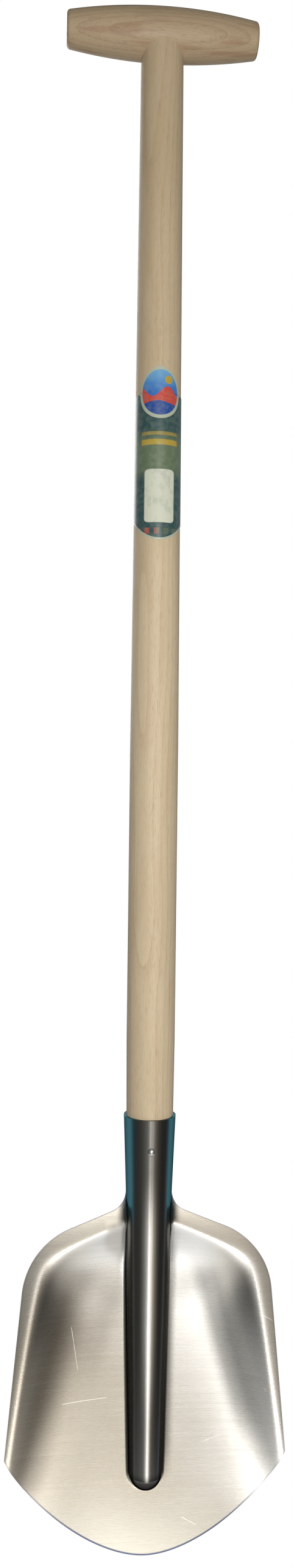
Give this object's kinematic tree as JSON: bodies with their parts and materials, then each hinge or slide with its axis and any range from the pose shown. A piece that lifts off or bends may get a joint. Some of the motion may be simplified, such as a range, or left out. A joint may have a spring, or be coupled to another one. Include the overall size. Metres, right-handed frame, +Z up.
{
  "type": "scoop spade",
  "caption": "T-handled scoop spade: pressed steel blade with turned-up sides, round centre rib and rolled socket, riveted to a long wooden shaft with a turned wooden crossbar grip.",
  "frame": {"origin": "middle of the crossbar, on the axes of crossbar and shaft; the spade hangs from a rack by this crossbar", "axes": "+Z runs up the shaft from the blade to the crossbar, -Y is the scooped front of the blade, +X is along the crossbar to the right of someone who faces that front"},
  "size_m": [0.231, 0.0454, 1.2685],
  "materials": {
    "blade_steel": "bright rolled sheet with a clear lacquer, lightly brushed and scratched",
    "shaft_wood": "sanded ash, thin satin lacquer",
    "crossbar_wood": "sanded ash with arched grain, thin satin lacquer",
    "wedge_wood": "darker hardwood, sawn",
    "pin_steel": "plain bright steel",
    "rivet_steel": "plain steel, hammered heads",
    "label_print": "printed self-adhesive film, slight sheen",
    "sticker_paper": "plain white sticker, matt"
  },
  "bodies": {
    "root": {"blade_head": "blade_steel", "shaft": "shaft_wood", "crossbar": "crossbar_wood", "tenon_wedge": "wedge_wood", "grip_pin": "pin_steel", "socket_rivet": "rivet_steel", "rivet_washer": "rivet_steel", "shaft_label": "label_print", "white_sticker": "sticker_paper"}
  },
  "joints": []
}
